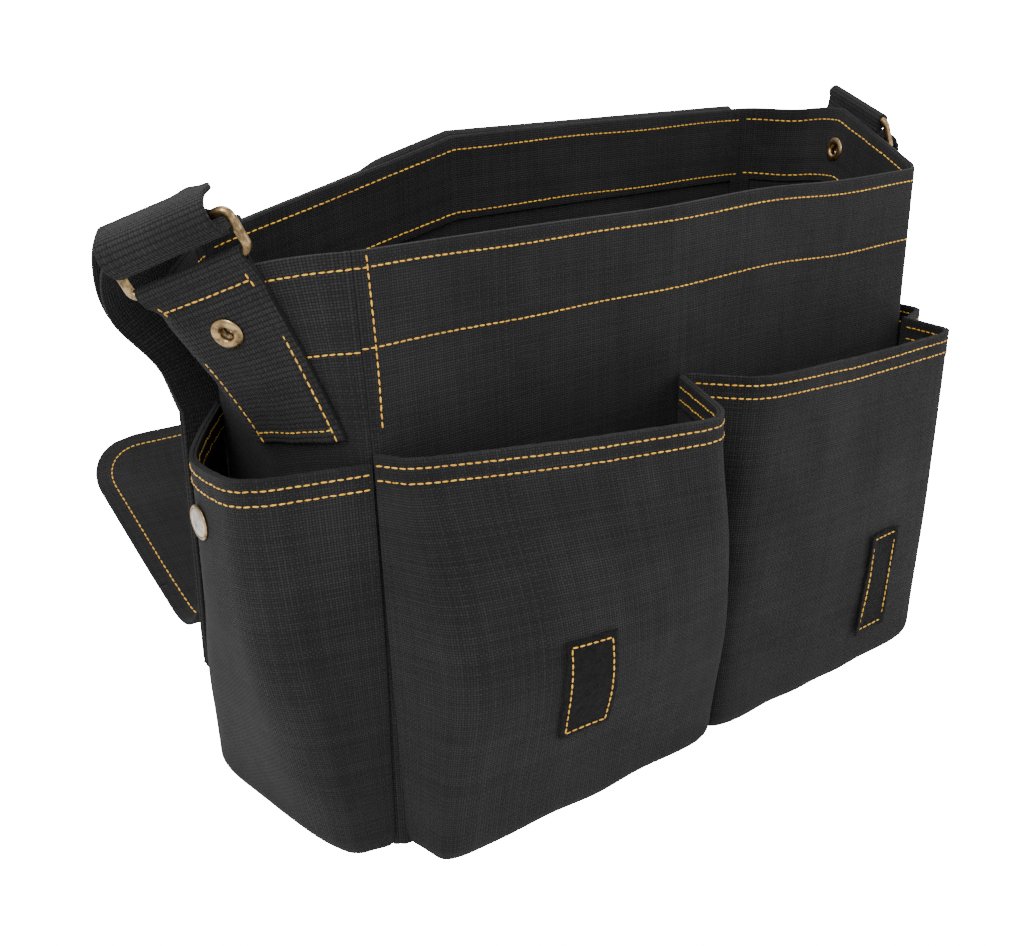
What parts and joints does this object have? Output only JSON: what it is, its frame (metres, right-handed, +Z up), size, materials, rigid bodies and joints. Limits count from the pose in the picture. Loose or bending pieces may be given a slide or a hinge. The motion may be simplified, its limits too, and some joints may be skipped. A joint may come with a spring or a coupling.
{
  "type": "electrician tool pouch",
  "caption": "Open canvas tool pouch with front and side pockets, a fold-over flap, ring tabs with eyelets and a webbing shoulder strap.",
  "frame": {"origin": "on the resting face, under the middle of the main compartment", "axes": "+X along the mouth to the right end, -Y out of the front pockets, +Z up"},
  "size_m": [0.5074, 0.3839, 0.317],
  "materials": {
    "canvas": "heavy black cotton duck, plain weave",
    "webbing": "black cotton webbing, coarse basket weave",
    "loop_patch": "black fuzzy loop tape",
    "hook_patch": "black hook tape",
    "thread": "golden yellow bonded sewing thread",
    "antique_brass": "aged brass",
    "snap_nickel": "worn nickel on brass",
    "slider_metal": "aged brass"
  },
  "bodies": {
    "root": {"bottom_panel": "canvas", "front_panel": "canvas", "back_panel": "canvas", "left_end_panel": "canvas", "right_end_panel": "canvas", "front_facing": "canvas", "back_facing": "canvas", "left_facing": "canvas", "right_facing": "canvas", "left_front_pocket": "canvas", "right_front_pocket": "canvas", "left_side_pocket": "canvas", "right_side_pocket": "canvas", "left_pocket_patch": "loop_patch", "right_pocket_patch": "loop_patch", "left_ring_tab": "webbing", "right_ring_tab": "webbing", "left_eyelet": "antique_brass", "right_eyelet": "antique_brass", "left_eyelet_washer": "antique_brass", "right_eyelet_washer": "antique_brass", "left_snap_cap": "snap_nickel", "right_snap_cap": "snap_nickel", "left_snap_socket": "snap_nickel", "right_snap_socket": "snap_nickel", "shoulder_strap": "webbing", "strap_return": "webbing"},
    "left_ring": {"left_ring": "antique_brass"},
    "right_ring": {"right_ring": "antique_brass"},
    "strap_slider": {"strap_slider": "slider_metal"},
    "flap_top": {"flap_top": "canvas"},
    "flap_front": {"flap_front": "canvas"},
    "flap_end": {"flap_end": "canvas", "left_hook_patch": "hook_patch", "right_hook_patch": "hook_patch"}
  },
  "joints": [
    {"name": "flap_hinge", "type": "hinge", "parent": "root", "child": "flap_top", "pos_m": [0, 0.0667, 0.306], "axis": [1, 0, 0], "range_deg": [0, 274.5]},
    {"name": "flap_front_fold", "type": "hinge", "parent": "flap_top", "child": "flap_front", "pos_m": [0, 0.08991, 0.10232], "axis": [1, 0, 0], "range_deg": [0, 51.51]},
    {"name": "flap_end_fold", "type": "hinge", "parent": "flap_front", "child": "flap_end", "pos_m": [0, 0.12591, 0.03996], "axis": [1, 0, 0], "range_deg": [-89.01, 0]},
    {"name": "left_ring_swing", "type": "hinge", "parent": "root", "child": "left_ring", "pos_m": [-0.23333, -0.01878, 0.2665], "axis": [0.5314, -0.7629, 0.3683], "range_deg": [-12, 12]},
    {"name": "right_ring_swing", "type": "hinge", "parent": "root", "child": "right_ring", "pos_m": [0.20809, -0.00709, 0.30556], "axis": [0.2929, 0.9109, 0.2905], "range_deg": [-5, 5]},
    {"name": "strap_slider_slide", "type": "slide", "parent": "root", "child": "strap_slider", "axis": [1, 0, 0], "range_m": [0, 0.08]}
  ],
  "couplings": [
    {"joint": "flap_front_fold", "follows": "flap_hinge", "ratio": 0.18761},
    {"joint": "flap_end_fold", "follows": "flap_hinge", "ratio": -0.32423}
  ]
}
